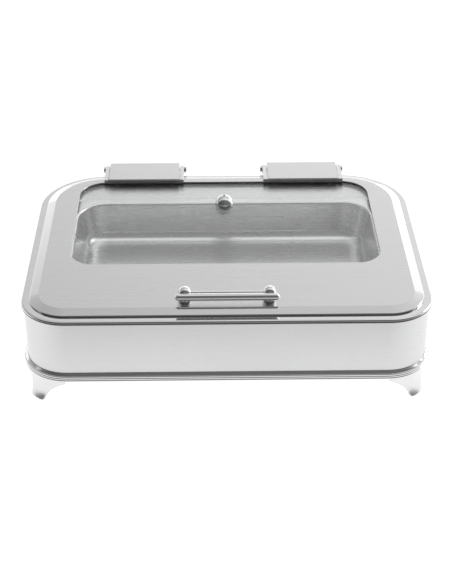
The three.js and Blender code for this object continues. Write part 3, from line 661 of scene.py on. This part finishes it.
def heating():
    water_pan()
    for node, width, material, slot in (
        ("heater_plate", 0.5, ALUMINIUM, "aluminium"),
        ("heating_element", 0.0, PAN, "pan_steel"),
        ("terminal_block", 0.8, CERAMIC, "ceramic"),
        ("thermostat_bulb", 0.6, PAN, "pan_steel"),
        ("control_box", 0.3, SATIN, "satin_steel"),
        ("thermostat_body", 0.8, PLASTIC, "black_plastic"),
    ):
        wear(softened(node, width), material, "base", slot, node)


# ---- Controls -------------------------------------------------------------------------------


def controls():
    for node, width, material, slot in (
        ("control_plate", 0.3, COVER, "brushed_steel"),
        ("switch_frame", 0.5, PLASTIC, "black_plastic"),
        ("power_inlet", 0.5, PLASTIC, "black_plastic"),
    ):
        wear(softened(node, width), material, "base", slot, node)
    wear(softened("switch_rocker", 0.6), PLASTIC, "switch_rocker", "black_plastic", "switch_rocker")
    lamp_low, lamp_high = low_high("indicator_lamp")
    centre = middle("indicator_lamp")
    length = lamp_high.y - lamp_low.y
    dome = arc((0, 0), 1, 0, 90, 8)
    lens = [(0, 0), (3.6, 0), (4, 0.4), (4, length - 4.4), (5.6, length - 4.4), (5.6, length - 3.6)]
    lens += [(4.9 * x, length - 3.5 + 3.5 * z) for x, z in dome[:-1]] + [(0, length)]
    lamp = turned("indicator_lamp_shown", lens, (centre.x, lamp_low.y, centre.z), "Y")
    wear(lamp, AMBER, "base", "lamp", "indicator_lamp")
    thermostat_knob()
    plate = middle("control_plate")
    rear = low_high("control_plate")[1].y - 0.1
    for hand, x in (("left", plate.x - 61), ("right", plate.x + 61)):
        for end, z in (("low", plate.z - 27), ("high", plate.z + 27)):
            screw_head(f"plate_screw_{hand}_{end}", (x, rear, z))


def screw_head(name, place):
    """Pan head with a cross recess, facing the rear."""
    profile = [(0, 0), (3.4, 0), (3.4, 0.7), (2.8, 1.5), (1.6, 1.95), (0, 2.1)]
    head = turned(name, profile, place, "Y", 32)
    for size in ((2.0, 0.5), (0.5, 2.0)):
        slot_cut = slab("slot", (place[0] - size[0], place[1] + 1.0, place[2] - size[1]),
                        (place[0] + size[0], place[1] + 3.0, place[2] + size[1]))
        carve(head, slot_cut)
    wear(head, POLISHED, "base", "polished_steel")


def thermostat_knob():
    """Dial with a fluted grip and a raised pointer."""
    low, high = low_high("thermostat_knob")
    plate_low, plate_high = low_high("control_plate")
    centre_x = (low.x + high.x) / 2
    centre_z = (low.z + high.z) / 2
    face = plate_high.y + GAP
    spindle = turned("spindle", [(0, 0), (3, 0), (3, face - low.y + 1), (0, face - low.y + 1)],
                     (centre_x, low.y, centre_z), "Y", 32)
    grip_height, flutes = 15.6, 24
    bm = bmesh.new()
    # Height, radius and depth of the flutes, from the skirt to the face.
    levels = [(0, 17, 0), (2.6, 17, 0), (3.5, 16.2, 0), (4.6, 13.8, 0), (5.4, 13.2, 0.55),
              (14, 12.4, 0.55), (15, 11.9, 0.2), (grip_height, 11, 0)]
    sides = flutes * 8
    rows = []
    for height, radius, depth in levels:
        row = []
        for step in range(sides):
            angle = 2 * math.pi * step / sides
            reach = radius - depth * (0.5 - 0.5 * math.cos(flutes * angle))
            row.append(bm.verts.new((reach * math.cos(angle), height, reach * math.sin(angle))))
        rows.append(row)
    for lower, upper in zip(rows, rows[1:]):
        for step in range(sides):
            after = (step + 1) % sides
            bm.faces.new((lower[step], lower[after], upper[after], upper[step]))
    bm.faces.new(rows[0])
    bm.faces.new(rows[-1])
    bmesh.ops.recalc_face_normals(bm, faces=bm.faces)
    mesh = bpy.data.meshes.new("thermostat_knob_shown")
    bm.to_mesh(mesh)
    bm.free()
    mesh.transform(Matrix.Translation((centre_x, face, centre_z)))
    knob = finish_mesh("thermostat_knob_shown", mesh)
    carve(knob, spindle, "UNION")
    pointer = slab("pointer", (centre_x - 1, face + 12, centre_z + 1),
                   (centre_x + 1, face + 16.8, centre_z + 11), bevel=0.4)
    carve(knob, pointer, "UNION")
    wear(knob, PLASTIC, "thermostat_knob", "black_plastic", "thermostat_knob")


# ---- Lid ------------------------------------------------------------------------------------


def lid_shell():
    under = PANEL_TOP - LID_SHEET
    bottom = lid_low.z
    outside = rounded(
        [
            (LID_INSET, bottom, 0),
            (LID_INSET, LID_EDGE_TOP, 1.2),
            (PANEL_INSET - 1.5, PANEL_TOP, 2.0),
            (PANEL_INSET + 6, PANEL_TOP, 0),
        ],
        looped=False,
    )
    inside = rounded(
        [
            (PANEL_INSET + 6, under, 0),
            (PANEL_INSET - 1.2, under, 1.5),
            (LID_INSET + LID_SHEET, LID_EDGE_TOP - LID_SHEET, 0.8),
            (LID_INSET + LID_SHEET, bottom, 0),
        ],
        looped=False,
    )
    rings = [ring(RIM, inset, height) for inset, height in outside]
    rings += [ring(WINDOW, inset, height) for inset, height in
              ((-0.5, PANEL_TOP), (-0.15, PANEL_TOP - 0.15), (0, PANEL_TOP - 0.5), (0, under))]
    rings += [ring(RIM, inset, height) for inset, height in inside]
    shell = skin("lid_shell_shown", rings, True)
    for number in range(1, 5):
        nut = middle(f"hinge_nut_{number}")
        carve(shell, stud_hole(nut.x, nut.y))
    for hand in ("left", "right"):
        post = middle(f"handle_post_{hand}")
        carve(shell, stud_hole(post.x, post.y))
    wear(shell, BRUSHED_LID, "lid", "brushed_steel", "lid_shell")
    paint(shell, POLISHED, lambda centre: centre.z < PANEL_TOP - 0.02 and outside_panel(centre))


def stud_hole(x, y):
    low, high = PANEL_TOP - 6, PANEL_TOP + 4
    return turned("hole", [(0, low), (3, low), (3, high), (0, high)], (x, y, 0), sides=24)


def outside_panel(centre):
    """True on the lid's bevel and standing edge, which are polished."""
    return (abs(centre.x) > WINDOW.half_width + 4 or centre.y < WINDOW.front - 4
            or centre.y > WINDOW.rear + 4 or in_corner(centre))


def in_corner(centre):
    inner = Vector((WINDOW.half_width - WINDOW.rear_radius, WINDOW.rear - WINDOW.rear_radius))
    reach = Vector((abs(centre.x), centre.y)) - inner
    return reach.x > 0 and reach.y > 0 and reach.length > WINDOW.rear_radius + 4


def lid_gasket():
    low, high = low_high("lid_gasket")
    profile = rounded(
        [
            (LID_INSET + 2.2, low.z, 0.3),
            (LID_INSET + 2.2, high.z - 1.3, 0.3),
            (LID_INSET + 7, high.z, 0.6),
            (LID_INSET + 7, low.z, 0.8),
        ]
    )
    wear(band("lid_gasket_shown", RIM, profile), SILICONE, "lid", "silicone", "lid_gasket")


def window():
    low, high = low_high("window_seal")
    rings = [
        ring(WINDOW, 0.2, low.z),
        ring(GLASS, 0, low.z),
        ring(GLASS, 0, high.z),
        ring(WINDOW, 0.2, high.z),
    ]
    wear(skin("window_seal_shown", rings, True), SILICONE, "lid", "silicone", "window_seal")
    bottom, top = glass_low.z, glass_high.z
    edge = [(0.6, bottom), (0.2, bottom + 0.2), (0, bottom + 0.6)]
    edge += [(0, top - 0.6), (0.2, top - 0.2), (0.6, top)]
    pane = skin("window_glass_shown", [ring(GLASS, inset, height) for inset, height in edge], False)
    knob = middle("vent_knob")
    across = [(0, bottom - 2), (5, bottom - 2), (5, top + 2), (0, top + 2)]
    hole = turned("hole", across, (knob.x, knob.y, 0))
    carve(pane, hole)
    wear(pane, GLASS_CLEAR, "lid", "glass", "window_glass")


def vent_knob():
    low, high = low_high("vent_knob")
    washer_low, washer_high = low_high("vent_washer")
    centre = middle("vent_knob")
    base = washer_high.z + GAP
    radius = high.x - centre.x
    rise = high.z - base
    dome = arc((0, 0), 1, 4, 80, 18)
    profile = [(1.8, low.z), (4.6, low.z), (4.6, base), (radius - 0.6, base), (radius, base + 0.6)]
    profile += [(radius * x, base + 1.2 + (rise - 1.6) * z) for x, z in dome]
    profile += [(2.3, high.z - 0.15), (1.9, high.z - 0.3), (1.8, high.z - 0.8)]
    knob = turned("vent_knob_shown", profile, (centre.x, centre.y, 0), sides=64, looped=True)
    wear(knob, POLISHED, "lid", "polished_steel", "vent_knob")
    wear(softened("vent_washer", 0.3), SILICONE, "lid", "silicone", "vent_washer")
    wear(softened("vent_nut", 0.3), SATIN, "lid", "satin_steel", "vent_nut")


def handle():
    bar_low, bar_high = low_high("handle_bar")
    bar = middle("handle_bar")
    radius = (bar_high.z - bar_low.z) / 2
    half = (bar_high.x - bar_low.x) / 2
    tip = [(0, 0), (1.0, 0.05), (2.0, 0.35), (3.4, 1.2), (4.6, 2.4), (5.3, 3.6), (radius, 5.2)]
    profile = tip + [(r, 2 * half - h) for r, h in reversed(tip)]
    piece = turned("handle_bar_shown", profile, (bar_low.x, bar.y, bar.z), "X")
    wear(piece, POLISHED, "lid", "polished_steel", "handle_bar")
    tie_low, tie_high = low_high("handle_tie_rod")
    tie = middle("handle_tie_rod")
    tie_radius = (tie_high.z - tie_low.z) / 2
    rod = [(0, 0), (tie_radius, 0), (tie_radius, tie_high.x - tie_low.x), (0, tie_high.x - tie_low.x)]
    piece = turned("handle_tie_rod_shown", rod, (tie_low.x, tie.y, tie.z), "X", 32)
    wear(piece, POLISHED, "lid", "polished_steel", "handle_tie_rod")
    for hand, side in (("left", -1), ("right", 1)):
        low, high = low_high(f"handle_post_{hand}")
        centre = middle(f"handle_post_{hand}")
        post_radius = (high.x - low.x) / 2
        height = high.z - low.z
        dome = arc((0, height - post_radius), post_radius, 0, 90, 16)
        profile = [(0, 0), (post_radius - 0.5, 0), (post_radius, 0.5)] + dome[:-1] + [(0, height)]
        centre_y = high.y - post_radius
        post = turned(f"handle_post_{hand}_shown", profile, (centre.x, centre_y, low.z), sides=64)
        long = 2 * post_radius + 10
        notch = turned("notch", [(0, 0), (radius + GAP, 0), (radius + GAP, long), (0, long)],
                       (centre.x - long / 2, bar.y, bar.z), "X")
        carve(post, notch)
        blind, depth = 4, 20
        start = min(centre.x - side * blind, centre.x - side * (blind + depth))
        bore = turned("bore", [(0, 0), (tie_radius + GAP, 0), (tie_radius + GAP, depth), (0, depth)],
                      (start, tie.y, tie.z), "X", 32)
        carve(post, bore)
        wear(post, POLISHED, "lid", "polished_steel", f"handle_post_{hand}")
        screw = f"handle_screw_{hand}"
        wear(softened(screw, 0.3), SATIN, "lid", "satin_steel", screw)


# ---- Hinges ---------------------------------------------------------------------------------


def hinges():
    for hand in ("left", "right"):
        for part, width, material, slot, body in (
            ("bracket", 0.35, SATIN, "satin_steel", "base"),
            ("damper", 0.3, SATIN, "satin_steel", "base"),
            ("pin", 0.6, POLISHED, "polished_steel", "lid"),
            ("yoke", 0.5, SATIN, "satin_steel", "lid"),
            ("cover", 0.5, COVER, "brushed_steel", "lid"),
        ):
            node = f"hinge_{part}_{hand}"
            wear(softened(node, width), material, body, slot, node)
    for number in range(1, 5):
        hinge_nut(number)


def hinge_nut(number):
    """Domed nut with a round foot, hanging under the lid."""
    node = f"hinge_nut_{number}"
    low, high = low_high(node)
    centre = middle(node)
    dome = arc((0, low.z + 4), 4, -80, -4, 12)
    foot_of_nut = [(4.1, low.z + 4.0), (4.2, low.z + 4.2), (4.2, high.z), (0, high.z)]
    profile = [(0, low.z + 0.02)] + dome + foot_of_nut
    wear(turned(f"{node}_shown", profile, (centre.x, centre.y, 0)), POLISHED, "lid", "polished_steel", node)


# ---- Studio ---------------------------------------------------------------------------------

CAMERA_PLACE = (-0.029, -1.9652, 1.2676)
CAMERA_PITCH = 31.83  # degrees below the horizon
CAMERA_YAW = 0.883  # degrees towards the right
CAMERA_LENS = 83.53

# Brightness of the floor in reflections, by metres from front to rear.
FLOOR_STOPS = (
    (-2.0, 0.12), (-1.0, 0.16), (-0.72, 0.36), (-0.5, 0.7),
    (-0.38, 0.92), (-0.25, 1.0), (0.3, 1.0), (0.7, 0.85),
)
FLOOR_SEEN = 0.92
# Brightness of the room, by degrees from the horizon behind, over the top, to the one in front.
AROUND_STOPS = (
    (-10, 1.0), (0, 2.2), (15, 1.9), (23, 0.92), (30, 0.83), (45, 0.74), (60, 0.66),
    (78, 0.62), (86, 1.1), (95, 1.0), (105, 0.34), (120, 0.16), (170, 0.14), (180, 0.3),
)
# The same from left to right, by the direction's X.
SIDE_STOPS = ((-0.8, 0.6), (-0.15, 0.86), (0.0, 1.0), (0.25, 1.12), (0.8, 1.1))


def camera():
    data = bpy.data.cameras.new("camera")
    data.lens = CAMERA_LENS
    data.clip_end = 50
    piece = bpy.data.objects.new("camera", data)
    piece.location = CAMERA_PLACE
    piece.rotation_euler = (math.radians(90 - CAMERA_PITCH), 0, math.radians(-CAMERA_YAW))
    bpy.context.scene.collection.objects.link(piece)
    bpy.context.scene.camera = piece


def floor():
    """White floor, whose reflection in the steel fades to grey towards the camera's side."""
    half = 8.0
    mesh = bpy.data.meshes.new("floor")
    corners = [(-half, -half, 0), (half, -half, 0), (half, half, 0), (-half, half, 0)]
    mesh.from_pydata(corners, [], [(0, 1, 2, 3)])
    piece = bpy.data.objects.new("floor", mesh)
    piece.location.z = -0.0005
    bpy.context.scene.collection.objects.link(piece)
    material, nodes, links = new_material("floor")
    shader = nodes["Principled BSDF"]
    shader.inputs["Base Color"].default_value = (0.3, 0.3, 0.3, 1)
    shader.inputs["Roughness"].default_value = 0.9
    shader.inputs["Specular IOR Level"].default_value = 0.1
    shader.inputs["Emission Color"].default_value = (1, 1, 1, 1)
    place = nodes.new("ShaderNodeNewGeometry").outputs["Position"]
    parts = nodes.new("ShaderNodeSeparateXYZ")
    links.new(place, parts.inputs[0])
    reflected = graded(nodes, links, parts.outputs["Y"], FLOOR_STOPS)
    path = nodes.new("ShaderNodeLightPath")
    mix = nodes.new("ShaderNodeMix")
    links.new(path.outputs["Is Camera Ray"], mix.inputs["Factor"])
    links.new(reflected, mix.inputs["A"])
    mix.inputs["B"].default_value = FLOOR_SEEN
    links.new(mix.outputs["Result"], shader.inputs["Emission Strength"])
    mesh.materials.append(material)


def graded(nodes, links, source, stops):
    """Value that follows (place, value) stops along a source, straight between them."""
    total = None
    for (start, low), (end, high) in zip(stops, stops[1:]):
        part = nodes.new("ShaderNodeMapRange")
        part.inputs["From Min"].default_value = start
        part.inputs["From Max"].default_value = end
        part.inputs["To Min"].default_value = low if total is None else 0.0
        part.inputs["To Max"].default_value = high if total is None else high - low
        links.new(source, part.inputs["Value"])
        if total is None:
            total = part.outputs["Result"]
            continue
        add = nodes.new("ShaderNodeMath")
        links.new(total, add.inputs[0])
        links.new(part.outputs["Result"], add.inputs[1])
        total = add.outputs[0]
    return total


def studio():
    """Pale studio: bright low backdrop behind, grey overhead, dark room on the camera's side."""
    world = bpy.data.worlds.new("studio")
    bpy.context.scene.world = world
    world.use_nodes = True
    nodes, links = world.node_tree.nodes, world.node_tree.links
    background = nodes["Background"]
    background.inputs["Color"].default_value = (1, 1, 1, 1)
    direction = nodes.new("ShaderNodeTexCoord").outputs["Generated"]
    parts = nodes.new("ShaderNodeSeparateXYZ")
    links.new(direction, parts.inputs[0])
    turn = nodes.new("ShaderNodeMath")
    turn.operation = "ARCTAN2"
    links.new(parts.outputs["Z"], turn.inputs[0])
    links.new(parts.outputs["Y"], turn.inputs[1])
    around_stops = [(math.radians(angle), value) for angle, value in AROUND_STOPS]
    around = graded(nodes, links, turn.outputs[0], around_stops)
    side = graded(nodes, links, parts.outputs["X"], SIDE_STOPS)
    product = nodes.new("ShaderNodeMath")
    product.operation = "MULTIPLY"
    links.new(around, product.inputs[0])
    links.new(side, product.inputs[1])
    links.new(product.outputs[0], background.inputs["Strength"])
    softbox("softbox", (2.2, 0.9, 1.3), (1.0, 1.0), 10)


def softbox(name, place, size, power):
    data = bpy.data.lights.new(name, "AREA")
    data.shape = "RECTANGLE"
    data.size, data.size_y = size
    data.energy = power
    lamp = bpy.data.objects.new(name, data)
    lamp.location = place
    lamp.rotation_euler = (-Vector(place)).to_track_quat("-Z", "Y").to_euler()
    bpy.context.scene.collection.objects.link(lamp)


camera()
floor()
studio()
base()
food_pan()
heating()
controls()
lid_shell()
lid_gasket()
window()
vent_knob()
handle()
hinges()
bpy.context.scene.view_settings.view_transform = "Standard"
